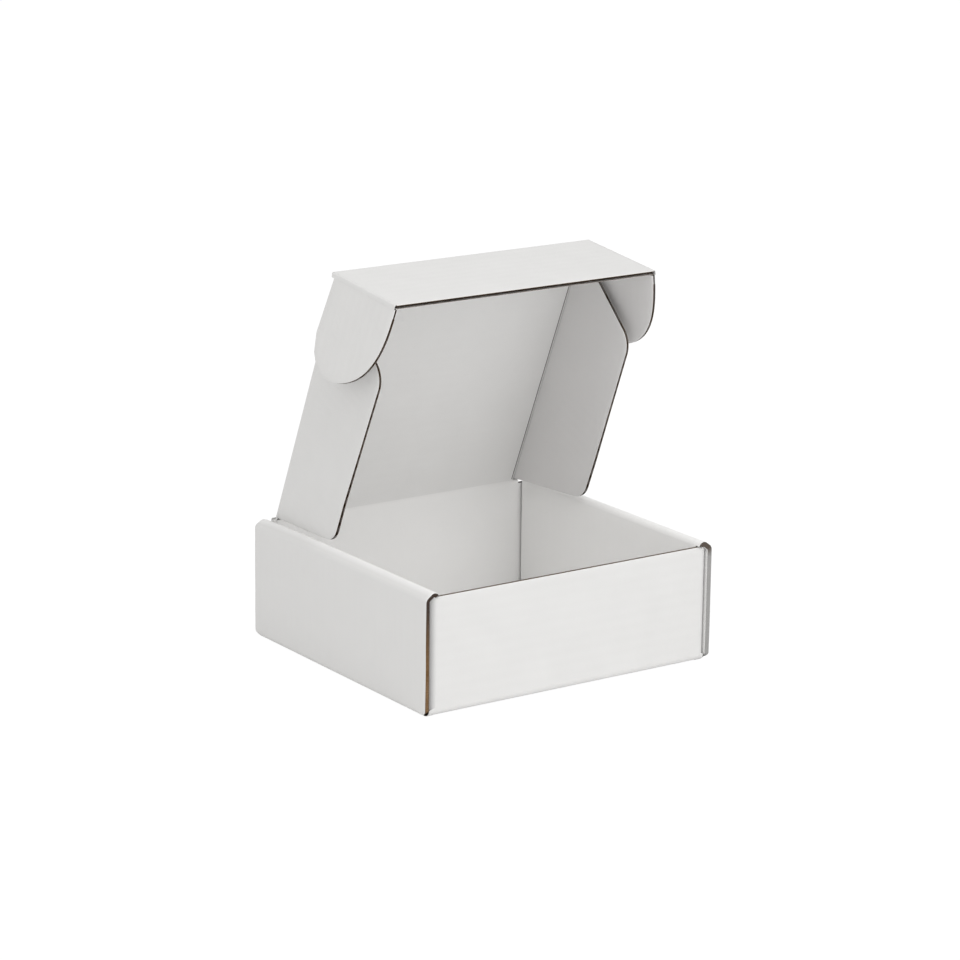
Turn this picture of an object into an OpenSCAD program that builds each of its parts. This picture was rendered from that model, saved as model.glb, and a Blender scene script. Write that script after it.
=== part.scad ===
// Corrugated mailer box: one die cut sheet of fluted board, folded into a tray with
// rolled double side walls and an attached lid with side flaps, a tuck flap and two lock ears.
// +X runs along the front wall to the right, +Y to the hinge at the back, +Z up.
// The origin is the centre of the underside of the tray.

/* [Tray] */
// Outside width of the tray, across both rolled side walls
tray_w = 186; // [140:1:260]
// Outside depth of the tray, from front wall to back wall
tray_d = 170; // [130:1:240]
// Height of the front wall
front_h = 64.5; // [45:0.5:100]
// Height of the back wall's top crease, which is the axis of the lid
hinge_h = 64.3; // [45:0.5:100]
// How far the outer side wall's crease lies below the top of the front wall
outer_drop = 1; // [0.5:0.1:6]
// How far the crease line of the roll rises above the top of the front wall
ridge_rise = 3.3; // [2:0.1:9]
// Length of each corner tab inside the rolled side walls
tab_len = 46; // [20:1:60]
// Height that the corner tabs stay below the top of the front wall
tab_drop = 9; // [6:0.5:20]

/* [Board] */
// Thickness of the board
board_t = 2.8; // [1.5:0.1:5]
// Thickness of each liner
liner_t = 0.42; // [0.2:0.02:0.6]
// Thickness of the fluted medium between the liners
medium_t = 0.4; // [0.2:0.02:0.6]
// Spacing of the flutes
flute_pitch = 6.4; // [3:0.1:9]
// Depth of the open slot along a raw edge that runs beside the flutes
slot_depth = 1.6; // [0.5:0.1:4]
// Inside radius of a fold
fold_r = 0.8; // [0.3:0.1:3]
// Inside radius of the upright folds between the end walls and their corner tabs
corner_r = 1.6; // [0.5:0.1:3]
// Inside radius of the tight fold along the top of the roll
ridge_r = 0.35; // [0.2:0.05:2]
// Width of the pressed score beside the tuck crease, on the inside
score_w = 0.8; // [0.4:0.1:3]
// Depth of the pressed score beside the tuck crease
score_d = 0.5; // [0.2:0.05:1]

/* [Lock tabs] */
// Width of each lock tab that stands in a slot of the bottom
lock_w = 24; // [10:1:50]
// Distance from the middle of the box to each lock tab's middle
lock_y = 44; // [20:1:60]
// Clearance around a lock tab in its slot
lock_clear = 0.3; // [0.1:0.05:1]

/* [Lid] */
// Opening angle of the lid, measured from closed
lid_open = 66.8; // [20:0.5:180]
// Depth of the lid's side flaps, from the middle of the lid's board
side_flap_h = 58.8; // [30:0.5:90]
// Distance from the hinge to the side flap's corner at the crease
flap_back = 2.5; // [2.5:0.5:20]
// Slant of the side flap's edge at the hinge end, in degrees
flap_back_taper = 25; // [5:0.5:45]
// Distance from the tuck crease to the side flap's corner at the crease
flap_front = 3.5; // [3:0.5:20]
// Slant of the side flap's edge at the tuck end, in degrees
flap_front_taper = 21.5; // [18:0.5:40]
// Radius of the side flap's free corner at the hinge end
flap_back_r = 12; // [4:0.5:25]
// Radius of the side flap's free corner at the tuck end
flap_front_r = 12; // [4:0.5:25]

/* [Tuck flap and lock ears] */
// Fold of the tuck flap from the plane of the lid, in degrees
tuck_fold = 73; // [0:1:90]
// Length of the tuck flap, from its crease to its free edge
tuck_h = 60.5; // [30:0.5:70]
// Fold of the lock ears from the plane of the tuck flap, in degrees
ear_fold = 81; // [0:0.5:90]
// Length of a lock ear, from its crease to its tip
ear_len = 54; // [30:1:75]
// Angle by which an ear's back edge flares towards the lid
ear_flare = 1; // [0:1:18]
// Radius of the ear's back corner
ear_corner_r = 20; // [4:0.5:20]
// Fullness of the ear's curved edge: 2 is an ellipse, more is squarer
ear_full = 2.75; // [2:0.05:4]

/* [Clearances] */
// Play of a corner tab between the two boards of a side wall, on each side
pocket_clear = 0.1; // [0.05:0.05:0.5]
// Gap between pieces of the lid that lie side by side, and between the lid and the tray
side_clear = 0.3; // [0.2:0.05:1]
// Gap between the front wall and the closed lid
front_clear = 0.5; // [0.3:0.1:2]
// Gap between a hinged panel and the crease that carries it
crease_clear = 0.15; // [0.1:0.05:0.4]
// Gap between boards of the tray that lie against each other
lay_clear = 0.25; // [0.1:0.05:1]

/* [Hidden] */
board_colour = [0.86, 0.86, 0.85];
lid_colour = [0.82, 0.82, 0.81];
half_t = board_t / 2;
slot_t = board_t - 2 * liner_t;
fold_mid_r = fold_r + half_t;
fold_out_r = fold_r + board_t;
ridge_mid_r = ridge_r + half_t;
corner_mid_r = corner_r + half_t;
// Rounding of the lid's outer edges, as a share of the board
edge_share = 0.8;
lid_edge_r = edge_share * board_t;
wall_stack = 3 * board_t + 2 * pocket_clear;
clear_w = tray_w - 2 * wall_stack;
tuck_w = clear_w - 2 * side_clear;
lid_w = tuck_w - 2 * board_t - 2 * side_clear;
outer_mid_x = tray_w / 2 - half_t;
inner_mid_x = clear_w / 2 + half_t;
tab_mid_x = tray_w / 2 - board_t - pocket_clear - half_t;
wall_mid_y = tray_d / 2 - half_t;
inner_end_y = tray_d / 2 - board_t - lay_clear;
ridge_z = front_h + ridge_rise;
outer_z = front_h - outer_drop;
lid_reach = tray_d - 2 * board_t - front_clear;
crease_start = half_t + crease_clear;
// End of a flute's opening before it meets the liner, as a share of the flute's length
flute_bite = 0.12;
flute_steps = 5;
// The ear's curved edge runs through this angle
ear_turn = 70;
ear_steps = 14;
arc_steps = 6;
round_fn = 32;
spare = 1;

// Direction of a vector, and the direction to its left
function unit(v) = v / norm(v);
function left_of(v) = [-v[1], v[0]];
function turned(v, a) = [v[0] * cos(a) - v[1] * sin(a), v[0] * sin(a) + v[1] * cos(a)];

// One side of a bent strip: the arc at corner q of the path p, q, r at distance off to the left
function bend(p, q, r, rad, off) =
  let (
    d1 = unit(q - p),
    d2 = unit(r - q),
    side = sign(d1[0] * d2[1] - d1[1] * d2[0]),
    turn = acos(d1 * d2),
    centre = q - d1 * rad * tan(turn / 2) + side * left_of(d1) * rad
  )
  [for (k = [0:arc_steps]) centre - (side * rad - off) * turned(left_of(d1), side * turn * k / arc_steps)];

// The whole side of a strip that follows a path, with a middle radius at each inner corner
function strip_side(path, radii, off) =
  let (last = len(path) - 1)
  concat(
    [path[0] + off * left_of(unit(path[1] - path[0]))],
    [for (i = [1:last - 1]) each bend(path[i - 1], path[i], path[i + 1], radii[i - 1], off)],
    [path[last] + off * left_of(unit(path[last] - path[last - 1]))]
  );

function backwards(list) = [for (i = [len(list) - 1:-1:0]) list[i]];

// Section of a folded board of thickness t along a path
module folded(path, radii, t) {
  polygon(concat(strip_side(path, radii, t / 2), backwards(strip_side(path, radii, -t / 2))));
}

// A corner q of the outline p, q, r, rounded
function rounded_corner(p, q, r, rad) = bend(p, q, r, rad, 0);

// Lays an XY section out along the depth of the box, with its Y as the height
module along_depth(y0, y1) {
  translate([0, y1, 0])
    rotate([90, 0, 0])
      linear_extrude(y1 - y0)
        children();
}

// Lays a section out along the width of the box: its X is the depth, its Y the height
module along_width(x0, x1) {
  translate([x0, 0, 0])
    rotate([90, 0, 90])
      linear_extrude(x1 - x0)
        children();
}

// A child and its copy on the other side of the box
module both_sides() {
  children();
  mirror([1, 0, 0])
    children();
}

module front_and_back() {
  children();
  mirror([0, 1, 0])
    children();
}

// Path of a side wall: bottom, outer wall, sloping top of the roll, inner wall
side_path = [
  [tray_w / 2 - 2 * fold_out_r, half_t],
  [outer_mid_x, half_t],
  [outer_mid_x, outer_z],
  [inner_mid_x, ridge_z],
  [inner_mid_x, board_t + lay_clear]
];
side_radii = [fold_mid_r, fold_mid_r, ridge_mid_r];

module rolled_side() {
  difference() {
    along_depth(-tray_d / 2, tray_d / 2)
      folded(side_path, side_radii, board_t);
    // The inner wall ends behind the front and back walls
    front_and_back()
      translate([clear_w / 2 - spare, inner_end_y, -spare])
        cube([board_t + spare + lay_clear, tray_d, front_h + lay_clear + spare]);
    // Open flutes along the raw edges at both ends
    front_and_back()
      along_depth(tray_d / 2 - slot_depth, tray_d / 2 + spare)
        folded(side_path, side_radii, slot_t);
  }
}

// Lock tabs along the lower edge of the inner wall, in the slots of the bottom
module lock_tabs() {
  front_and_back()
    translate([clear_w / 2, lock_y - lock_w / 2, 0])
      cube([board_t, lock_w, 2 * board_t]);
}

module lock_slots() {
  front_and_back()
    translate([clear_w / 2 - lock_clear, lock_y - lock_w / 2 - lock_clear, -spare])
      cube([board_t + 2 * lock_clear, lock_w + 2 * lock_clear, board_t + 2 * spare]);
}

module bottom() {
  flat_w = tray_w - 2 * (fold_out_r + half_t);
  flat_d = tray_d - 2 * fold_out_r;
  translate([-flat_w / 2, -flat_d / 2, 0])
    cube([flat_w, flat_d, board_t]);
}

// End wall of height h with its bottom fold and a slot along its raw top edge
module end_wall(h) {
  wall_path = [
    [-tray_d / 2 + 2 * fold_out_r, half_t],
    [-wall_mid_y, half_t],
    [-wall_mid_y, h]
  ];
  half_w = tab_mid_x - corner_mid_r;
  along_width(-half_w, half_w)
    folded(wall_path, [fold_mid_r], board_t);
}

// End folds of an end wall, and the corner tabs between the boards of the side walls
module corner_tabs(h) {
  tab_path = [
    [tab_mid_x, -wall_mid_y + corner_mid_r + tab_len],
    [tab_mid_x, -wall_mid_y],
    [tab_mid_x - 2 * corner_mid_r, -wall_mid_y]
  ];
  low = board_t + fold_r;
  difference() {
    translate([0, 0, low])
      linear_extrude(h - low)
        folded(tab_path, [corner_mid_r], board_t);
    // The tab itself is lower than its fold and slants down to its end
    translate([tab_mid_x - board_t, -tray_d / 2 + corner_r + board_t, 0])
      rotate([90, 0, 90])
        linear_extrude(2 * board_t)
          polygon([
            [0, h - tab_drop], [tab_len + spare, h - 2 * tab_drop],
            [tab_len + spare, h + spare], [0, h + spare]
          ]);
  }
}

// Room for the sloping top of the roll above the ends of the end walls
module roll_room() {
  slope = side_path[3] - side_path[2];
  along_depth(-tray_d / 2 - spare, tray_d / 2 + spare)
    translate(side_path[2])
      rotate(atan2(slope[1], slope[0]))
        translate([-board_t, -half_t])
          square([norm(slope) + board_t, board_t + lay_clear]);
}

module edge_slot(x0, x1, y, z) {
  translate([x0, y - slot_t / 2, z - slot_depth])
    cube([x1 - x0, slot_t, slot_depth + spare]);
}

module tray() {
  color(board_colour) {
    difference() {
      union() {
        both_sides()
          rolled_side();
        bottom();
      }
      both_sides()
        lock_slots();
    }
    both_sides()
      lock_tabs();
    // Front wall, open along its raw top edge
    difference() {
      union() {
        end_wall(front_h);
        both_sides()
          corner_tabs(front_h);
      }
      both_sides()
        roll_room();
      edge_slot(-clear_w / 2, clear_w / 2, -wall_mid_y, front_h);
    }
    // Back wall, whose top crease carries the lid
    difference() {
      mirror([0, 1, 0])
        union() {
          end_wall(hinge_h);
          both_sides()
            corner_tabs(hinge_h);
        }
      both_sides()
        roll_room();
    }
    hinge_crease(tuck_w);
  }
}

// Half round crease along the top of the back wall, on the axis of the lid
module hinge_crease(w) {
  translate([-w / 2, wall_mid_y, hinge_h])
    rotate([0, 90, 0])
      cylinder(h = w, r = half_t, $fn = round_fn);
}

// Score pressed into the inside of a board next to a crease that lies along the X axis
module score(w) {
  along_width(-w / 2 - spare, w / 2 + spare)
    polygon([
      [-spare, -half_t + score_d], [crease_start, -half_t + score_d],
      [crease_start + score_w, -half_t], [crease_start + score_w, -half_t - spare],
      [-spare, -half_t - spare]
    ]);
}

// Places a child in the frame of the lid: the hinge is the X axis, the lid lies towards -Y
// with its outside up, and the child is turned with the lid
module in_lid() {
  translate([0, wall_mid_y, hinge_h])
    rotate([-lid_open, 0, 0])
      children();
}

// The frame of the tuck flap: its crease is the X axis, and flat it lies towards -Y
module in_tuck() {
  in_lid()
    translate([0, -lid_reach, 0])
      rotate([tuck_fold, 0, 0])
        children();
}

// Section of the lid across its width, rounded along its outer edges
module lid_section() {
  right = [lid_w / 2, half_t];
  left = [-lid_w / 2, half_t];
  right_low = [lid_w / 2, -half_t];
  left_low = [-lid_w / 2, -half_t];
  polygon(concat(
    [left_low, right_low],
    rounded_corner(right_low, right, left, lid_edge_r),
    rounded_corner(right, left, left_low, lid_edge_r)
  ));
}

module lid_panel() {
  color(lid_colour)
    in_lid() {
      difference() {
        rotate([90, 0, 0])
          translate([0, 0, crease_start])
            linear_extrude(lid_reach - crease_start)
              lid_section();
        translate([0, -lid_reach, 0])
          score(lid_w);
      }
      // Half round crease that carries the tuck flap
      translate([-lid_w / 2, -lid_reach, 0])
        rotate([0, 90, 0])
          cylinder(h = lid_w, r = half_t, $fn = round_fn);
    }
}

// Section of fluted board, along X for a length and half the board's thickness up and down
module flute_section(length) {
  wave_a = half_t - liner_t - medium_t / 2;
  difference() {
    translate([0, -half_t])
      square([length, board_t]);
    for (k = [0:floor(length / flute_pitch)], up = [1, -1]) {
      x0 = (k + (up > 0 ? 0 : 0.5) + flute_bite) * flute_pitch;
      x1 = (k + (up > 0 ? 1 : 1.5) - flute_bite) * flute_pitch;
      polygon(concat(
        [[x0, up * (half_t - liner_t)], [x1, up * (half_t - liner_t)]],
        [for (n = [flute_steps:-1:0])
          let (x = x0 + (x1 - x0) * n / flute_steps)
          [x, wave_a * cos(360 * x / flute_pitch) + up * medium_t / 2]]
      ));
    }
  }
}

// Outline of a side flap: X is the distance from the hinge, Y the depth below the lid
module flap_outline() {
  back_x = flap_back;
  front_x = lid_reach - flap_front;
  back_foot = [back_x + side_flap_h * tan(flap_back_taper), side_flap_h];
  front_foot = [front_x - side_flap_h * tan(flap_front_taper), side_flap_h];
  back_top = [back_x + crease_start * tan(flap_back_taper), crease_start];
  front_top = [front_x - crease_start * tan(flap_front_taper), crease_start];
  polygon(concat(
    [front_top, back_top],
    rounded_corner(back_top, back_foot, front_foot, flap_back_r),
    rounded_corner(back_foot, front_foot, front_top, flap_front_r)
  ));
}

// Side flap on the right, folded down from the lid's edge
module side_flap() {
  in_lid()
    translate([lid_w / 2 - half_t, 0, 0])
      intersection() {
        rotate([180, 0, 0])
          linear_extrude(side_flap_h + spare)
            rotate(90)
              flute_section(lid_reach);
        rotate([0, 90, 0])
          translate([0, 0, -half_t])
            linear_extrude(board_t)
              rotate(-90)
                flap_outline();
      }
}

module side_flap_right() {
  color(lid_colour)
    side_flap();
}

module side_flap_left() {
  color(lid_colour)
    mirror([1, 0, 0])
      side_flap();
}

// Tuck flap, with the half round creases that carry the ears
module tuck_flap() {
  color(board_colour)
    in_tuck() {
      difference() {
        translate([-tuck_w / 2 + half_t, -tuck_h, -half_t])
          cube([tuck_w - board_t, tuck_h - crease_start, board_t]);
        translate([-tuck_w / 2, -tuck_h - spare, -slot_t / 2])
          cube([tuck_w, slot_depth + spare, slot_t]);
        mirror([0, 1, 0])
          score(tuck_w);
      }
      both_sides()
        translate([tuck_w / 2 - half_t, -crease_start, 0])
          rotate([90, 0, 0])
            cylinder(h = tuck_h - crease_start, r = half_t, $fn = round_fn);
    }
}

// Outline of a lock ear laid flat: X is the distance from its crease, Y runs along the crease
// from the free edge of the tuck flap, at -tuck_h, towards the lid
module ear_outline() {
  near = [crease_start, crease_start * tan(ear_flare) - crease_start];
  back = [ear_len * cos(ear_flare), ear_len * sin(ear_flare)];
  reach = ear_len - crease_start;
  power = 2 / ear_full;
  // The free edge curves from the tuck flap's free edge to the tip
  free = [
    for (k = [0:ear_steps])
      let (a = ear_turn * k / ear_steps)
      [crease_start + reach * pow(sin(a), power), -tuck_h * pow(cos(a), power)]
  ];
  polygon(concat(
    [near],
    free,
    rounded_corner(free[len(free) - 1], [ear_len, back[1]], near, ear_corner_r)
  ));
}

module lock_ear() {
  in_tuck()
    translate([tuck_w / 2 - half_t, 0, 0])
      rotate([0, ear_fold, 0])
        intersection() {
          translate([0, -tuck_h, 0])
            rotate([90, 0, 90])
              linear_extrude(ear_len + spare)
                flute_section(tuck_h + ear_len / 2);
          translate([0, 0, -half_t])
            linear_extrude(board_t)
              ear_outline();
        }
}

module lock_ear_right() {
  color(lid_colour)
    lock_ear();
}

module lock_ear_left() {
  color(lid_colour)
    mirror([1, 0, 0])
      lock_ear();
}

tray();
lid_panel();
side_flap_left();
side_flap_right();
tuck_flap();
lock_ear_left();
lock_ear_right();
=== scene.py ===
import math

import bpy
import numpy as np
from mathutils import Matrix, Vector


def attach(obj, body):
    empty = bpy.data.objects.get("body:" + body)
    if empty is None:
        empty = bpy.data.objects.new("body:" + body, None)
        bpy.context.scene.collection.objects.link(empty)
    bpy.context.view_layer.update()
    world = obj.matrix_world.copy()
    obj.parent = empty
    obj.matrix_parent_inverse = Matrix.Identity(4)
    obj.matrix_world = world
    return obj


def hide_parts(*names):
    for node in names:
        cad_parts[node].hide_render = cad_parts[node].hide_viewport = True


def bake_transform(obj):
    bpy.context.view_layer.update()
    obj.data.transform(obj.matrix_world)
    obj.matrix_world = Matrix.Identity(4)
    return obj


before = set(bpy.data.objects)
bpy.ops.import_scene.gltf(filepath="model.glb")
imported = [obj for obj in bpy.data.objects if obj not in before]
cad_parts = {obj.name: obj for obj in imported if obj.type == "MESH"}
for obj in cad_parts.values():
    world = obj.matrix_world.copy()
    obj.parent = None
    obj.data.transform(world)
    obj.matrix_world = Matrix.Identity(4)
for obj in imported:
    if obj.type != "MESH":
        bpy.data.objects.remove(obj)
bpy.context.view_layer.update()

# Sizes in millimetres, as in the part's source
MM = 0.001
T, LINER, MEDIUM, PITCH = 2.8, 0.27, 0.25, 6.4
HT = T / 2
TRAY_W, TRAY_D, FRONT_H = 186.0, 170.0, 64.5
ROLL_PLAY, SIDE_GAP, BACK_GAP, CREASE_GAP = 0.2, 0.6, 0.5, 0.15
CLEAR_W = TRAY_W - 2 * (3 * T + ROLL_PLAY)
TUCK_W = CLEAR_W - SIDE_GAP
LID_W = TUCK_W - 2 * T - SIDE_GAP
FLAP_X = LID_W / 2 - T
WALL_Y = TRAY_D / 2 - HT
HINGE_Z = 64.3
LID_OPEN, TUCK_FOLD = math.radians(66.8), math.radians(73)
LID_REACH = TRAY_D - 2 * T - BACK_GAP
TUCK_H, FLAP_H, EAR_LEN = 60.5, 58.8, 54.0
START = HT + CREASE_GAP
SIDES = ((-1, "left"), (1, "right"))


# Materials
def node(tree, kind, **values):
    n = tree.nodes.new(kind)
    for key, value in values.items():
        setattr(n, key, value)
    return n


def paper(name, colour, mottle=0.02, washboard=0.0, rough=0.78, kraft=None):
    """Liner board: fine mottling, fibres, and the faint ripple of the flutes under it."""
    m = bpy.data.materials.new(name)
    m.use_nodes = True
    t = m.node_tree
    shader = t.nodes["Principled BSDF"]
    shader.inputs["Roughness"].default_value = rough
    shader.inputs["Specular IOR Level"].default_value = 0.25
    sheet = node(t, "ShaderNodeAttribute", attribute_name="sheet")
    soft = node(t, "ShaderNodeTexNoise")
    soft.inputs["Scale"].default_value = 0.05
    soft.inputs["Detail"].default_value = 3
    fine = node(t, "ShaderNodeTexNoise")
    fine.inputs["Scale"].default_value = 1.6
    fine.inputs["Detail"].default_value = 6
    t.links.new(sheet.outputs["Vector"], soft.inputs["Vector"])
    t.links.new(sheet.outputs["Vector"], fine.inputs["Vector"])
    ramp = node(t, "ShaderNodeValToRGB")
    low = [max(0, c - mottle) for c in (kraft or colour)]
    ramp.color_ramp.elements[0].position = 0.3
    ramp.color_ramp.elements[0].color = (*low, 1)
    ramp.color_ramp.elements[1].position = 0.7
    ramp.color_ramp.elements[1].color = (*colour, 1)
    mix = node(t, "ShaderNodeMath", operation="MULTIPLY_ADD")
    mix.inputs[1].default_value = 0.45
    t.links.new(fine.outputs["Fac"], mix.inputs[0])
    half = node(t, "ShaderNodeMath", operation="MULTIPLY")
    half.inputs[1].default_value = 0.55
    t.links.new(soft.outputs["Fac"], half.inputs[0])
    t.links.new(half.outputs[0], mix.inputs[2])
    t.links.new(mix.outputs[0], ramp.inputs["Fac"])
    t.links.new(ramp.outputs["Color"], shader.inputs["Base Color"])
    bump = node(t, "ShaderNodeBump")
    bump.inputs["Strength"].default_value = 0.12
    bump.inputs["Distance"].default_value = 0.00012
    t.links.new(fine.outputs["Fac"], bump.inputs["Height"])
    last = bump
    if washboard:
        axes = node(t, "ShaderNodeSeparateXYZ")
        t.links.new(sheet.outputs["Vector"], axes.inputs["Vector"])
        turn = node(t, "ShaderNodeMath", operation="MULTIPLY")
        turn.inputs[1].default_value = 2 * math.pi / PITCH
        t.links.new(axes.outputs["Y"], turn.inputs[0])
        wave = node(t, "ShaderNodeMath", operation="COSINE")
        t.links.new(turn.outputs[0], wave.inputs[0])
        ripple = node(t, "ShaderNodeBump")
        ripple.inputs["Strength"].default_value = washboard
        ripple.inputs["Distance"].default_value = 0.00006
        t.links.new(wave.outputs[0], ripple.inputs["Height"])
        t.links.new(bump.outputs["Normal"], ripple.inputs["Normal"])
        last = ripple
    t.links.new(last.outputs["Normal"], shader.inputs["Normal"])
    return m


def tint_along(material, start, end, tint):
    """Blends a paper to another tint between two distances along its sheet: painted shade, painted light or a
    darker stretch of cut edge.
    """
    t = material.node_tree
    shader = t.nodes["Principled BSDF"]
    colour = shader.inputs["Base Color"].links[0].from_socket
    sheet = [n for n in t.nodes if n.type == "ATTRIBUTE"][0]
    axes = node(t, "ShaderNodeSeparateXYZ")
    t.links.new(sheet.outputs["Vector"], axes.inputs["Vector"])
    span = node(t, "ShaderNodeMapRange")
    span.inputs["From Min"].default_value = start
    span.inputs["From Max"].default_value = end
    t.links.new(axes.outputs["X"], span.inputs["Value"])
    both = node(t, "ShaderNodeMix", data_type="RGBA")
    both.inputs["B"].default_value = (*tint, 1)
    t.links.new(span.outputs["Result"], both.inputs["Factor"])
    t.links.new(colour, both.inputs["A"])
    t.links.new(both.outputs["Result"], shader.inputs["Base Color"])


WHITE = paper("white_liner", (0.785, 0.78, 0.77), 0.03, 0.5)
INNER = paper("inner_liner", (0.865, 0.86, 0.85), 0.03, 0.35)
# Painted light: a lighter copy of the inner liner for the inside of the tray, for the light bounced about in
# it
TRAY_PAINTED_LIGHT = paper("tray_liner_painted_light", (0.93, 0.925, 0.915), 0.02, 0.35)
# Painted shade: a darker copy of the inner liner for the inner faces of the side flaps and lock ears
SHADED = paper("flap_liner_painted_shade", (0.745, 0.735, 0.73), 0.02, 0.35)
EDGE = paper("cut_liner", (0.17, 0.12, 0.085), 0.04, 0.0, 0.9, kraft=(0.1, 0.07, 0.052))
# Painted shadow: dark colour for thin strips laid along the side flaps' creases
CREASE_SHADOW = paper("crease_painted_shadow", (0.22, 0.205, 0.2), 0.02, 0.0, 0.9)
KRAFT = paper("kraft_medium", (0.11, 0.075, 0.048), 0.05, 0.0, 0.9, kraft=(0.035, 0.027, 0.02))
# Right wall's pressed raw end: its pale colour darkened to grey with painted shade
GREY = paper("pressed_edge_painted_shade", (0.35, 0.345, 0.34), 0.02, 0.0, 0.9)
# Outer liner of the rolled side walls: its own white over the outer wall, with painted light past the top of
# the wall
ROLL = paper("roll_liner_painted_light", (0.78, 0.775, 0.765), 0.015, 0.5)
# Outer liner of the front corner folds, darkened round each fold with painted shade for the groove's shadow
FOLD_PAINTED_SHADE = paper("fold_white_painted_shade", (0.78, 0.775, 0.765), 0.015)
RAW = paper("raw_edge", (0.26, 0.165, 0.09), 0.05, 0.0, 0.9, kraft=(0.14, 0.085, 0.045))
tint_along(RAW, 34, 62, (0.055, 0.038, 0.03))
tint_along(GREY, 62, 67, (0.1, 0.08, 0.065))
# Painted light: lighter from the top of the outer wall on, over the ridge and down the inner wall inside the
# tray
tint_along(ROLL, 68.5, 72, (0.93, 0.925, 0.915))
# Painted shade: darker round the arc of each front corner fold, where the groove by the side wall's raw end
# is in shadow
tint_along(FOLD_PAINTED_SHADE, 6.0, 8.6, (0.4, 0.395, 0.395))


# Meshes
def to_object(name, points, faces, sheet, material, body, cut=None, cut_faces=()):
    """An object from points in millimetres. The faces in cut_faces take the second material."""
    me = bpy.data.meshes.new(name)
    me.from_pydata([tuple(p) for p in points * MM], [], faces)
    attribute = me.attributes.new("sheet", "FLOAT_VECTOR", "POINT")
    attribute.data.foreach_set("vector", np.asarray(sheet, np.float32).ravel())
    me.shade_smooth()
    me.set_sharp_from_angle(angle=math.radians(38))
    me.materials.append(material)
    if cut_faces:
        me.materials.append(cut)
        index = np.zeros(len(faces), np.int32)
        index[list(cut_faces)] = 1
        me.polygons.foreach_set("material_index", index)
    o = bpy.data.objects.new(name, me)
    bpy.context.scene.collection.objects.link(o)
    if body:
        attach(o, body)
    return o


def grid(a, b):
    B, A = np.meshgrid(b, a, indexing="ij")
    return A, B


def steps(low, high, size):
    return np.linspace(low, high, max(2, int(math.ceil((high - low) / size)) + 1))


def layer(place, A, B, low, high, shift=0.0):
    """A thin closed sheet over the grid A, B between two offsets.

    Returns its points, faces and sheet positions, and the faces along each side of the grid."""
    n, m = A.shape
    pts = np.concatenate([place(A, B, high).reshape(-1, 3), place(A, B, low).reshape(-1, 3)])
    flat = np.stack([A, B, np.full(A.shape, shift)], -1).reshape(-1, 3)
    faces, half = [], n * m
    sides = {"a0": [], "a1": [], "b0": [], "b1": []}
    for i in range(n - 1):
        for j in range(m - 1):
            a, b, c, d = i * m + j, i * m + j + 1, (i + 1) * m + j + 1, (i + 1) * m + j
            faces.append((a, b, c, d))
            faces.append((half + d, half + c, half + b, half + a))
            for key, at_rim, p, q in (
                ("a0", j == 0, a, d),
                ("a1", j == m - 2, c, b),
                ("b0", i == 0, b, a),
                ("b1", i == n - 2, d, c),
            ):
                if at_rim:
                    sides[key].append(len(faces))
                    faces.append((p, q, half + q, half + p))
    return pts, faces, np.concatenate([flat, flat]), sides


def whole(A, B):
    """The board keeps its full thickness."""
    return 1.0


def pressed(distance, keep=0.5, width=3.0):
    """Share of the thickness left at a distance from a cut edge."""
    x = np.clip(distance / width, 0, 1)
    return keep + (1 - keep) * np.sqrt(x * (2 - x))


FLUTE_STEPS = 12
LINER_SHIFTS = {"out": 7.0, "in": 31.0}


def board(name, place, A, B, body, nodes=(), crush=whole, outer=WHITE, inner=INNER, inset=0.0, raw="",
          cut=EDGE):
    """Fluted board over a grid: two liners and the medium between them. B runs across the flutes.

    crush gives the share of the thickness that is left near a cut edge, and raw names the grid's
    sides that are cut. The first liner stands in for the nodes of the part."""
    k = crush(A, B)
    for part, side, material in (("out", 1, outer), ("in", -1, inner)):
        far, near = side * HT * k, side * (HT * k - LINER)
        low, high = np.minimum(far, near), np.maximum(far, near)
        pts, faces, flat, sides = layer(place, A, B, low, high, LINER_SHIFTS[part])
        bare = [f for key in raw.split() for f in sides[key]]
        to_object(f"{name}_{part}", pts, faces, flat, material, body, cut, bare)
    fine = max(2, int(np.ptp(B) / PITCH * FLUTE_STEPS))
    rows = np.linspace(0, B.shape[0] - 1, fine + 1)

    def finer(G):
        return np.array([[np.interp(r, range(G.shape[0]), G[:, j]) for j in range(G.shape[1])] for r in rows])

    A2, B2 = finer(A), finer(B)
    k = crush(A2, B2)
    if inset:
        B2 = np.clip(B2, B.min() + inset, B.max() - inset)
    wave = (HT * k - LINER - MEDIUM / 2) * np.cos(2 * np.pi * B2 / PITCH)
    pts, faces, flat, _ = layer(place, A2, B2, wave - MEDIUM / 2, wave + MEDIUM / 2)
    to_object(f"{name}_flutes", pts, faces, flat, KRAFT, body)
    for n in nodes:
        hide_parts(n)


def plug(name, place, A, B, body, material, share):
    """Board pressed shut along a cut edge: fills a share of the space between the liners."""
    h = (HT - LINER) * share * np.ones(A.shape)
    pts, faces, flat, _ = layer(place, A, B, -h, h)
    to_object(name, pts, faces, flat, material, body)


def near_line(line):
    """Distance from points of a grid to a line given as points."""
    a, b = line[:-1], line[1:]

    def distance(P, Q):
        best = np.full(np.shape(P), 1e9)
        for (x0, y0), (x1, y1) in zip(a, b):
            dx, dy = x1 - x0, y1 - y0
            t = np.clip(((P - x0) * dx + (Q - y0) * dy) / (dx * dx + dy * dy + 1e-9), 0, 1)
            best = np.minimum(best, np.hypot(P - x0 - t * dx, Q - y0 - t * dy))
        return best

    return distance


def plane(origin, along_a, along_b, normal):
    o, a, b, n = (np.array(v, float) for v in (origin, along_a, along_b, normal))
    return lambda A, B, H: o + A[..., None] * a + B[..., None] * b + (H * np.ones(A.shape))[..., None] * n


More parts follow.
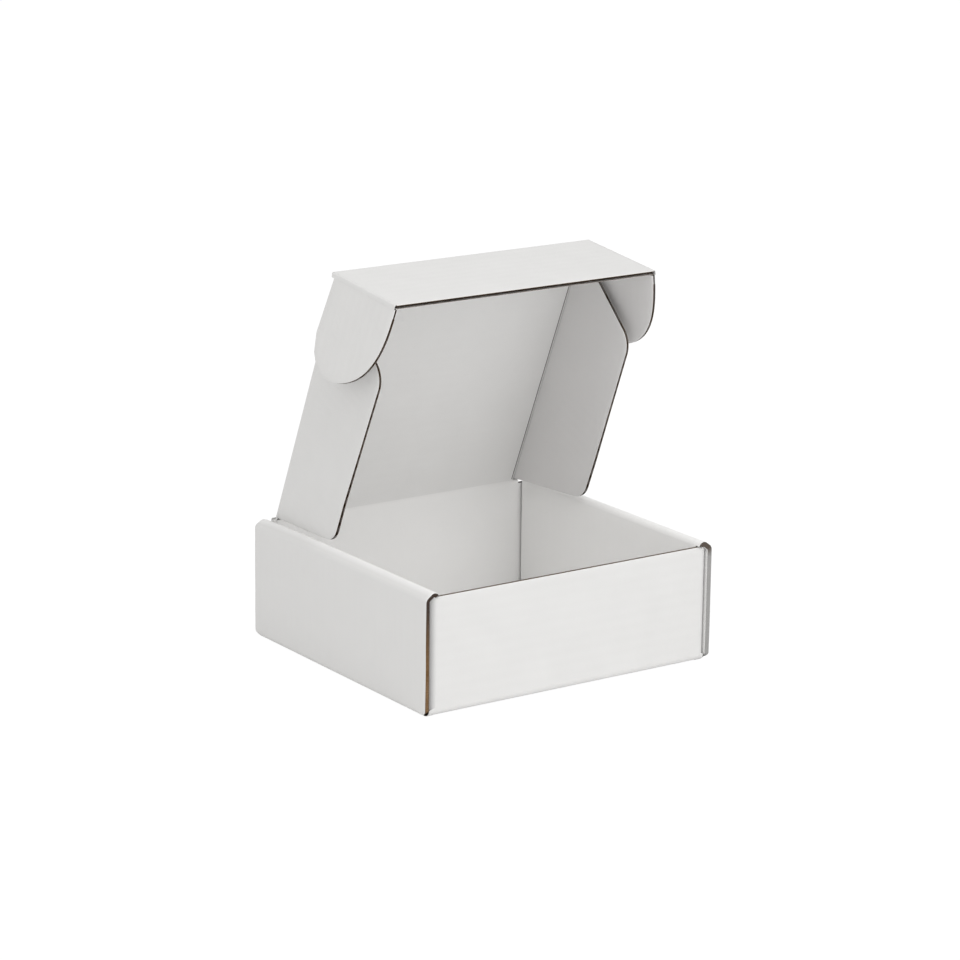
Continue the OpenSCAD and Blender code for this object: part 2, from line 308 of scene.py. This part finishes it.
def rounded(path, radii, count=8):
    """A path of straight lines with rounded corners, as points."""
    path = [np.array(p, float) for p in path]
    out = [path[0]]
    for i, rad in enumerate(radii, 1):
        p, q, r = path[i - 1], path[i], path[i + 1]
        d1, d2 = (q - p) / np.linalg.norm(q - p), (r - q) / np.linalg.norm(r - q)
        side = np.sign(d1[0] * d2[1] - d1[1] * d2[0])
        turn = math.acos(np.clip(d1 @ d2, -1, 1))
        centre = q - d1 * rad * math.tan(turn / 2) + side * rad * np.array([-d1[1], d1[0]])
        arm = -side * np.array([-d1[1], d1[0]]) * rad
        for k in range(count + 1):
            a = side * turn * k / count
            out.append(centre + np.array([arm[0] * math.cos(a) - arm[1] * math.sin(a),
                                          arm[0] * math.sin(a) + arm[1] * math.cos(a)]))
    out.append(path[-1])
    return np.array(out)


class Ribbon:
    """A mid line in a plane: position and left normal at a distance along it."""

    def __init__(self, path, radii, count=8):
        self.p = rounded(path, radii, count)
        runs = np.diff(self.p, axis=0)
        self.s = np.concatenate([[0], np.cumsum(np.linalg.norm(runs, axis=1))])
        seg = runs / np.diff(self.s)[:, None]
        d = np.concatenate([seg[:1], seg[:-1] + seg[1:], seg[-1:]])
        d /= np.linalg.norm(d, axis=1)[:, None]
        self.n = np.stack([-d[:, 1], d[:, 0]], -1)

    def at(self, S, H):
        x, y = (np.interp(S, self.s, self.p[:, k]) + H * np.interp(S, self.s, self.n[:, k]) for k in (0, 1))
        return x, y

    def stations(self, step):
        extra = []
        for a, b in zip(self.s[:-1], self.s[1:]):
            extra += list(np.linspace(a, b, max(1, int((b - a) / step)) + 1)[:-1])
        return np.array(extra + [self.s[-1]])


# Frames of the moving panels at rest
HINGE = np.array([0, WALL_Y, HINGE_Z])
X, Y, Z = np.array([1.0, 0, 0]), np.array([0, 1.0, 0]), np.array([0, 0, 1.0])
U = np.array([0, -math.cos(LID_OPEN), math.sin(LID_OPEN)])
N = np.array([0, -math.sin(LID_OPEN), -math.cos(LID_OPEN)])
CREASE = HINGE + U * LID_REACH
V = U * math.cos(TUCK_FOLD) + N * math.sin(TUCK_FOLD)
M = -U * math.sin(TUCK_FOLD) + N * math.cos(TUCK_FOLD)

# Tray: front wall, bottom and back wall as one bent sheet
FRONT_Y = WALL_Y - 0.9
BEND_R = 2.2
FOLD_R = {-1: 3.0, 1: 1.6}
TAB_X = TRAY_W / 2 - T - 0.1 - HT
HALF_W = {sign: TAB_X - FOLD_R[sign] for sign in FOLD_R}
FOOT_X, FOOT_H, FOOT_EASE = 89.7, 5.2, 1.8
FOOT_ROWS = (5, 4.4, 4, 3.6, 3.2, 2.8, 2.4)
WALL_TOP = HINGE_Z - START
spine = Ribbon([(-FRONT_Y, FRONT_H), (-FRONT_Y, HT), (WALL_Y, HT), (WALL_Y, WALL_TOP)], [BEND_R, BEND_R])


def in_spine(A, B, H):
    """Front wall, bottom and back wall. Below the corner folds the sheet runs out to the side walls."""
    low = np.minimum(B - (FRONT_H - FOOT_H), spine.s[-1] - (WALL_TOP - FOOT_H) - B)
    ease = np.clip(low / FOOT_EASE, 0, 1)
    grow = 1 + (FOOT_X / np.where(A < 0, HALF_W[-1], HALF_W[1]) - 1) * ease * ease * (3 - 2 * ease)
    y, z = spine.at(B, -H)
    return np.stack([A * grow, y, z], -1)


def front_top(A, B):
    """The front wall's top edge is pressed by the cut."""
    return pressed(B, 0.62, 2.5)


a = steps(-HALF_W[-1], HALF_W[1], 12)
b = np.array(sorted([0.4, 0.9, 1.6, 3, *[FRONT_H - k for k in FOOT_ROWS], *spine.stations(8)]))
A, B = grid(a, b)
# The tray's inside takes the lighter liner of painted light
board("tray_walls", in_spine, A, B, "tray", ["tray"], crush=front_top, raw="b0", inset=0.3, inner=TRAY_PAINTED_LIGHT)
A, B = grid(a, [0.04, 0.3])
plug("front_top", in_spine, A, B, "tray", EDGE, 0.42)

# Tray: rolled side walls
FLOOR_LAP, OUTER_DROP, RIDGE_RISE, RIDGE_R = 7.2, 1.0, 3.3, 0.35 + HT
FLOOR_GAP, INNER_BACK_GAP = 0.25, 1.1
ROLL_STEPS = 10
OUTER_X, INNER_X = TRAY_W / 2 - HT, CLEAR_W / 2 + HT
SLOPE = math.radians(36.5)
SAG = {-1: 1.1, 1: 0.8}
# The right end's grey carries painted shade
RAW_END, PLUG_SHARE = {-1: RAW, 1: GREY}, {-1: 0.72, 1: 0.99}
side_path = [
    (TRAY_W / 2 - FLOOR_LAP, HT), (OUTER_X, HT), (OUTER_X, FRONT_H - OUTER_DROP),
    (INNER_X, FRONT_H + RIDGE_RISE), (INNER_X, T + FLOOR_GAP),
]
roll = Ribbon(side_path, [BEND_R, BEND_R, RIDGE_R], ROLL_STEPS)
BEND_END = roll.s[ROLL_STEPS + 1]


def left_end(A, B):
    """The left wall's raw ends are crushed unevenly."""
    return pressed(TRAY_D / 2 - np.abs(B), 0.8 + 0.07 * np.sin(A / 6) + 0.05 * np.sin(A / 2.3), 2.0)


for sign, side in SIDES:

    def in_roll(A, B, H, sign=sign):
        """The raw ends curve back round the bottom corners, and the top is pressed low at the hinge."""
        x, z = roll.at(A, -H)
        foot = np.clip((BEND_END + 0.6 - A) / 2.4, 0, 1)
        limit = TRAY_D / 2 - 3.4 * foot * foot
        sag = np.clip((B - 30) / 55, 0, 1) * np.clip((z - 56) / 11, 0, 1)
        return np.stack([sign * x, np.clip(B, -limit, limit), z - SAG[sign] * sag * sag], -1)

    down = roll.s[-1] - (FRONT_H - T)
    cols = np.array(sorted([*roll.stations(10), down, down + 0.02]))
    edge = [TRAY_D / 2 - k for k in (0, 0.4, 0.9, 1.6)]
    rows = np.array([*[-e for e in edge], *steps(-TRAY_D / 2 + 2.5, TRAY_D / 2 - 2.5, 9), *edge[::-1]])
    A, B = grid(cols, rows)
    inner_ends = np.clip(B, -TRAY_D / 2 + T + FLOOR_GAP, TRAY_D / 2 - T - INNER_BACK_GAP)
    B = np.where(A > down + 0.01, inner_ends, B)
    # The roll's liner carries painted light past the top of the outer wall
    board("side_" + side, in_roll, A, B, "tray", crush=left_end if sign < 0 else whole, inset=1.0,
          raw="b0 b1", cut=RAW_END[sign], outer=ROLL)
    A, B = grid(cols[cols < down], [-TRAY_D / 2 + 0.12, -TRAY_D / 2 + 0.6])
    plug("end_" + side, in_roll, A, B, "tray", RAW_END[sign], PLUG_SHARE[sign])

    # Corner folds of the end walls, and the tabs that lie in the side wall
    for end, front in ((-1, "front"), (1, "back")):
        face_y = FRONT_Y if end < 0 else WALL_Y
        tab_path = [(HALF_W[sign] - 6, face_y), (TAB_X, face_y), (TAB_X, face_y - 48)]
        fold = Ribbon(tab_path, [FOLD_R[sign]], 10)

        def in_corner(A, B, H, sign=sign, end=end, fold=fold):
            x, y = fold.at(A, H)
            return np.stack([sign * x, end * y, B], -1)

        # The tab stays under the roll's slope, and is lower behind the fold
        top = FRONT_H if end < 0 else HINGE_Z
        cols = fold.stations(8)[1:]
        x_at, _ = fold.at(cols, 0)
        slope_z = FRONT_H - OUTER_DROP + (OUTER_X - x_at) * ((OUTER_DROP + RIDGE_RISE) / (OUTER_X - INNER_X))
        tops = np.minimum(top, slope_z - HT / math.cos(SLOPE) - 0.4)
        tops = np.where(cols > fold.s[-1] - 46, np.minimum(tops, top - 9), tops)
        B = 3.6 + np.linspace(0, 1, 9)[:, None] * (tops[None, :] - 3.6)
        A = np.repeat(cols[None, :], 9, 0)
        # The front corner folds take the liner with painted shade round the fold
        face = WHITE if end > 0 else FOLD_PAINTED_SHADE
        board(f"corner_{front}_{side}", in_corner, A, B, "tray", raw="b1", outer=face)

# Lid panel between its creases
CREASE_PRESS, PRESS_W = 0.34, 1.2
beside_crease = PRESS_W * np.array([0.25, 0.5, 0.75, 1])


def pressed_in(place, at, deeper=0.0):
    """Presses the inner face in beside the crease at a distance along the sheet.

    deeper presses it more past the creases of the side flaps."""

    def shape(A, B, H):
        end = deeper * np.clip((np.abs(A) - FLAP_X + 2.5) / 2, 0, 1)
        away = np.clip((np.abs(B - at) - 0.8 * end) / PRESS_W, 0, 1)
        share = 1 - (CREASE_PRESS + 0.14 * end) * (1 - away) ** 2
        return place(A, B, np.where(H < 0, H * share, H))

    return shape


lid_end = LID_REACH - START
rows = [*steps(START, lid_end - PRESS_W, 8), *(lid_end - beside_crease[-2::-1]), lid_end]
A, B = grid(steps(-FLAP_X, FLAP_X, 12), rows)
board("lid", pressed_in(plane(HINGE, X, U, -N), lid_end), A, B, "lid", ["lid_panel"])

# Side flaps: one row across the flutes for each distance from the hinge
FLAP_BACK, FLAP_FRONT, FLAP_R = 2.5, 3.5, 12
BACK_TAPER, FRONT_TAPER = math.radians(25), math.radians(21.5)
LEAN_BACK, LEAN_FRONT = {-1: 3.4, 1: 2.6}, 0.7
flap_from, flap_to = FLAP_BACK, LID_REACH - FLAP_FRONT
free_from, free_to = flap_from + FLAP_H * math.tan(BACK_TAPER), flap_to - FLAP_H * math.tan(FRONT_TAPER)
flap_line = rounded(
    [(flap_from, 0), (free_from, FLAP_H), (free_to, FLAP_H), (flap_to, 0)], [FLAP_R, FLAP_R], 10
)
flap_s = np.array(sorted([*steps(flap_from + 0.95, flap_to - 0.65, 4), *flap_line[2:-2, 0]]))
flap_s = flap_s[np.concatenate([[True], np.diff(flap_s) > 0.05])]
reach = np.interp(flap_s, flap_line[:, 0], flap_line[:, 1])
frac = np.array([0, 0.25, 0.5, 0.72, 0.86, 0.93, 0.965, 0.985, 1])
flap_edge = near_line(flap_line)


def flap_crush(A, B):
    """The cut edge is pressed most towards the tuck flap."""
    return pressed(flap_edge(B, A), 0.46 + 0.3 * np.clip(1 - B / 90, 0, 1), 5)


for sign, side in SIDES:
    A = START + frac[None, :] * (reach[:, None] - START)
    B = np.repeat(flap_s[:, None], len(frac), 1)

    def in_flap(A, B, H, side_out=X * sign, back=LEAN_BACK[sign]):
        """The flap stands open a little towards the hinge and is square to the lid at its other end."""
        lean = np.radians(back + (LEAN_FRONT - back) * np.clip((B - 55) / 85, 0, 1))[..., None]
        drop, out = A[..., None] - HT, (HT + H * np.ones(A.shape))[..., None]
        at = HINGE + side_out * FLAP_X + N * HT + B[..., None] * U
        along_drop = np.cos(lean) * N + np.sin(lean) * side_out
        along_out = np.cos(lean) * side_out - np.sin(lean) * N
        return at + along_drop * drop + along_out * out

    # The flap's inner face takes the darker liner of painted shade
    board("flap_" + side, in_flap, A, B, "flap_" + side, ["side_flap_" + side], crush=flap_crush,
          raw="a1", inner=SHADED)

# Tuck flap
TUCK_X = TUCK_W / 2 - HT


def tuck_crush(A, B):
    return pressed(TUCK_H - B, 0.65)


cols = [-TUCK_X, -FLAP_X + 0.5, *steps(-FLAP_X + 2.5, FLAP_X - 2.5, 12), FLAP_X - 0.5, TUCK_X]
rows = [START, *(START + beside_crease), START + 1.6, *steps(START + 2, TUCK_H - 4, 6),
        *(TUCK_H - np.array([2.6, 1.5, 0.8, 0.3, 0]))]
A, B = grid(cols, rows)
board("tuck", pressed_in(plane(CREASE, X, V, -M), START, 1.0), A, B, "tuck", ["tuck_flap"],
      crush=tuck_crush, inset=1.0, raw="b1")

# Lock ears: one row across the flutes for each distance along the crease
EAR_SPLAY = {-1: math.radians(14.5), 1: math.radians(8.7)}
EAR_BACK, EAR_R, EAR_TURN = 0.4, 20, 70
FLARE, FULL = math.radians(1), 2 / 2.75
turns = np.radians(np.linspace(0, EAR_TURN, 24))
free = np.stack([START + (EAR_LEN - START) * np.sin(turns) ** FULL, TUCK_H * np.cos(turns) ** FULL], -1)
ear_top = rounded([free[-1], (EAR_LEN, -EAR_LEN * math.sin(FLARE)), (START, EAR_BACK)], [EAR_R], 12)
ear_line = np.concatenate([free, ear_top[1:-1]])
lowest = int(np.argmin(ear_line[:, 1]))
ear_q = np.array(sorted(set([*steps(ear_line[lowest, 1] + 0.05, TUCK_H - 0.05, 3), *free[1:, 1]])))
outer_line = ear_line[: lowest + 1][::-1]
back_line = np.concatenate([ear_line[lowest:], [[START, EAR_BACK]]])
ear_edge = near_line(np.concatenate([ear_line, back_line[-1:]]))
near = np.where(ear_q < EAR_BACK, np.interp(ear_q, back_line[:, 1], back_line[:, 0]), START)
far = np.maximum(np.interp(ear_q, outer_line[:, 1], outer_line[:, 0]), near + 0.05)


def ear_crush(A, B):
    return pressed(ear_edge(A, B), 0.5, 4)


for sign, side in SIDES:
    A = near[:, None] + frac[None, :] * (far - near)[:, None]
    B = np.repeat(ear_q[:, None], len(frac), 1)
    splay = EAR_SPLAY[sign]
    down = M * math.cos(splay) + X * sign * math.sin(splay)
    out = X * sign * math.cos(splay) - M * math.sin(splay)
    # The ear's inner face takes the darker liner of painted shade
    board("ear_" + side, plane(CREASE + X * sign * TUCK_X, down, V, out), A, B, "ear_" + side,
          ["lock_ear_" + side], crush=ear_crush, raw="a1 b0", inner=SHADED)


# Creases: the liners run on round each fold
def strip(name, profile, along, low, high, material):
    """A liner along a crease, fixed in place and attached to no body. profile is its outer face."""
    profile, along = np.array(profile), np.array(along)
    tangent = np.gradient(profile, axis=0)
    normal = np.cross(tangent, along)
    normal /= np.linalg.norm(normal, axis=1)[:, None]
    across = steps(low, high, 12)
    n, m = len(profile), len(across)
    rows = np.repeat(np.arange(n)[:, None], m, 1)
    cols = np.repeat(across[None, :], n, 0)

    def place(A, B, H):
        return profile[rows] + cols[..., None] * along + H * normal[rows]

    pts, faces, flat, _ = layer(place, cols, rows * 0.5, -LINER, 0.0)
    o = to_object(name, pts, faces, flat, material, None)
    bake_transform(o)


def outer_fold(name, centre, along, arm_a, arm_b, radius, tails, low, high):
    """Outside of a fold: an arc about centre from arm_a to arm_b with a straight run before and after."""
    a, b = np.array(arm_a, float), np.array(arm_b, float)
    turn = math.acos(np.clip(a @ b, -1, 1))
    back = -(b - (a @ b) * a)
    on = -(a - (a @ b) * b)
    back, on = back / np.linalg.norm(back), on / np.linalg.norm(on)
    arc = [centre + (math.sin((1 - k) * turn) * a + math.sin(k * turn) * b) * radius / math.sin(turn)
           for k in np.linspace(0, 1, 11)]
    profile = [arc[0] + back * tails[0], *arc, arc[-1] + on * tails[1]]
    if np.cross(profile[1] - profile[0], along) @ a < 0:
        along, low, high = -np.array(along), -high, -low
    strip(name, profile, along, low, high, WHITE)


def inner_fold(name, p, q, corner_point, along, inward, low, high, material):
    """Inside of a fold: a soft bead from p to q round the corner point."""
    curve = [(1 - k) ** 2 * p + 2 * k * (1 - k) * corner_point + k * k * q for k in np.linspace(0, 1, 7)]
    if np.cross(curve[1] - curve[0], along) @ inward < 0:
        along, low, high = -np.array(along), -high, -low
    strip(name, curve, along, low, high, material)


def core(name, centre, reach, body):
    """The pressed board inside a crease, which closes its ends."""
    turns = np.linspace(0, 2 * np.pi, 17)[:-1]
    ring = (HT - LINER - 0.02) * np.stack([0 * turns, np.cos(turns), np.sin(turns)], -1)
    pts = np.concatenate([centre + ring - X * reach, centre + ring + X * reach])
    faces = [(k, (k + 1) % 16, 16 + (k + 1) % 16, 16 + k) for k in range(16)]
    faces += [tuple(range(16))[::-1], tuple(range(16, 32))]
    faces = [f[::-1] for f in faces]
    to_object(name, pts, faces, pts, WHITE, body)


wide = TUCK_W / 2 - 1.8
outer_fold("hinge_out", HINGE, X, Y, -N, HT, (START, START), -wide, wide)
# The hinge's inner bead takes the lighter liner of painted light
inner_fold("hinge_in", HINGE - Y * HT - Z * START, HINGE + N * HT + U * START, HINGE + (N - Y) * HT * 0.51, X,
           -Y, -wide, wide, TRAY_PAINTED_LIGHT)
end_x = TUCK_X + 0.5
outer_fold("tuck_out", CREASE, X, -N, -M, HT, (START, START), -end_x, end_x)
inner = HT * (1 - CREASE_PRESS)
inside = CREASE + (N + M) / np.linalg.norm(N + M) * inner / math.cos(TUCK_FOLD / 2)
inner_fold("tuck_in", CREASE - U * START + N * inner, CREASE + V * START + M * inner, inside, X,
           N, -FLAP_X, FLAP_X, INNER)
for sign, side in SIDES:
    side_out = X * sign
    outer_fold("flap_fold_" + side, HINGE + side_out * FLAP_X + N * HT, U, -N, side_out, T, (0.1, 0.5),
               START - 0.4, LID_REACH - START)
    ear_out = side_out * math.cos(EAR_SPLAY[sign]) - M * math.sin(EAR_SPLAY[sign])
    outer_fold("ear_fold_" + side, CREASE + side_out * TUCK_X, V, -M, ear_out, HT, (0.1, START + 0.1),
               EAR_BACK - 0.3, TUCK_H - 0.3)
core("hinge_core", HINGE, wide - 0.05, "tray")
core("tuck_core", CREASE, end_x - 0.05, "lid")

# Thin dark strips of painted shadow where the side flaps' creases are pressed in, clear of the folded flaps
SHADOW_IN, SHADOW_W = 1.3, 0.6
for sign, side in SIDES:
    edge_at = HINGE + X * sign * (FLAP_X - SHADOW_IN) + N * HT
    A, B = grid([0, SHADOW_W], steps(START + 1, LID_REACH - START - 1, 20))
    pts, faces, flat, _ = layer(plane(edge_at, X * sign, U, N), A, B, 0.01, 0.04)
    to_object("line_" + side, pts, faces if sign > 0 else [f[::-1] for f in faces], flat, CREASE_SHADOW, "lid")


# Floor, light and camera
def floor_material(name, colour):
    """A pale matt floor that keeps shadows and shows as near white to the camera."""
    m = bpy.data.materials.new(name)
    m.use_nodes = True
    t = m.node_tree
    shader = t.nodes["Principled BSDF"]
    shader.inputs["Roughness"].default_value = 0.9
    shader.inputs["Specular IOR Level"].default_value = 0.1
    noise = node(t, "ShaderNodeTexNoise")
    noise.inputs["Scale"].default_value = 3
    ramp = node(t, "ShaderNodeValToRGB")
    ramp.color_ramp.elements[0].color = (*[c - 0.004 for c in colour], 1)
    ramp.color_ramp.elements[1].color = (*colour, 1)
    t.links.new(noise.outputs["Fac"], ramp.inputs["Fac"])
    t.links.new(ramp.outputs["Color"], shader.inputs["Base Color"])
    glow = node(t, "ShaderNodeEmission")
    glow.inputs["Strength"].default_value = 1.06
    path = node(t, "ShaderNodeLightPath")
    share = node(t, "ShaderNodeMath", operation="MULTIPLY")
    share.inputs[1].default_value = 0.9
    both = node(t, "ShaderNodeMixShader")
    t.links.new(path.outputs["Is Camera Ray"], share.inputs[0])
    t.links.new(share.outputs[0], both.inputs["Fac"])
    t.links.new(shader.outputs[0], both.inputs[1])
    t.links.new(glow.outputs[0], both.inputs[2])
    t.links.new(both.outputs[0], t.nodes["Material Output"].inputs["Surface"])
    return m


me = bpy.data.meshes.new("floor")
me.from_pydata([(-3, -3, 0), (3, -3, 0), (3, 3, 0), (-3, 3, 0)], [], [(0, 1, 2, 3)])
me.materials.append(floor_material("floor_white", (0.93, 0.93, 0.93)))
floor = bpy.data.objects.new("floor", me)
floor.location = (0, 0, -0.0002)
bpy.context.scene.collection.objects.link(floor)

world = bpy.data.worlds.new("studio")
bpy.context.scene.world = world
world.use_nodes = True
wt = world.node_tree
wt.nodes.clear()
out = node(wt, "ShaderNodeOutputWorld")
amb = node(wt, "ShaderNodeBackground")
amb.inputs["Color"].default_value = (1, 1, 1, 1)
amb.inputs["Strength"].default_value = 0.66
seen = node(wt, "ShaderNodeBackground")
seen.inputs["Color"].default_value = (1, 1, 1, 1)
seen.inputs["Strength"].default_value = 1.0
path = node(wt, "ShaderNodeLightPath")
pick = node(wt, "ShaderNodeMixShader")
wt.links.new(path.outputs["Is Camera Ray"], pick.inputs["Fac"])
wt.links.new(amb.outputs[0], pick.inputs[1])
wt.links.new(seen.outputs[0], pick.inputs[2])
wt.links.new(pick.outputs[0], out.inputs["Surface"])


def from_angles(azimuth, elevation):
    """Direction from the object, azimuth from the front to the right and elevation up, in degrees."""
    a, e = math.radians(azimuth), math.radians(elevation)
    return Vector((math.sin(a) * math.cos(e), -math.cos(a) * math.cos(e), math.sin(e)))


def lamp(name, azimuth, elevation, distance, size, power, colour=(1, 1, 1), aim=(0, 0, 0.09)):
    data = bpy.data.lights.new(name, "AREA")
    data.shape = "DISK"
    data.size = size
    data.energy = power
    data.color = colour
    o = bpy.data.objects.new(name, data)
    spot = Vector(aim) + distance * from_angles(azimuth, elevation)
    o.location = spot
    o.rotation_euler = (Vector(aim) - spot).to_track_quat("-Z", "Y").to_euler()
    bpy.context.scene.collection.objects.link(o)


lamp("key", 20, 28, 1.6, 1.1, 4.2)
lamp("top", -8, 62, 1.7, 1.2, 7.4)
lamp("fill", -72, 25, 1.8, 1.4, 3.0, (1, 0.985, 0.96))

# The camera of the photo: its place, its small tilt and its focal length in pixels
AZIMUTH, ELEVATION, TILT = -34.69, 15.14, math.radians(0.65)
DISTANCE, FOCAL_PX, PHOTO_PX, SENSOR = 1.93678, 3564.06, 960, 36
away = from_angles(AZIMUTH, ELEVATION)
right = (-away).cross(Vector((0, 0, 1))).normalized()
up = right.cross(-away)
target = right * -0.000999 + Vector((0, 0, 0.095295))
camera = bpy.data.objects.new("camera", bpy.data.cameras.new("camera"))
tilted_right = right * math.cos(TILT) + up * math.sin(TILT)
tilted_up = up * math.cos(TILT) - right * math.sin(TILT)
turned = Matrix((tilted_right, tilted_up, away)).transposed().to_4x4()
camera.matrix_world = Matrix.Translation(target + away * DISTANCE) @ turned
camera.data.sensor_width = SENSOR
camera.data.lens = FOCAL_PX / PHOTO_PX * SENSOR
camera.data.clip_end = 20
bpy.context.scene.collection.objects.link(camera)
bpy.context.scene.camera = camera
bpy.context.scene.view_settings.view_transform = "Standard"
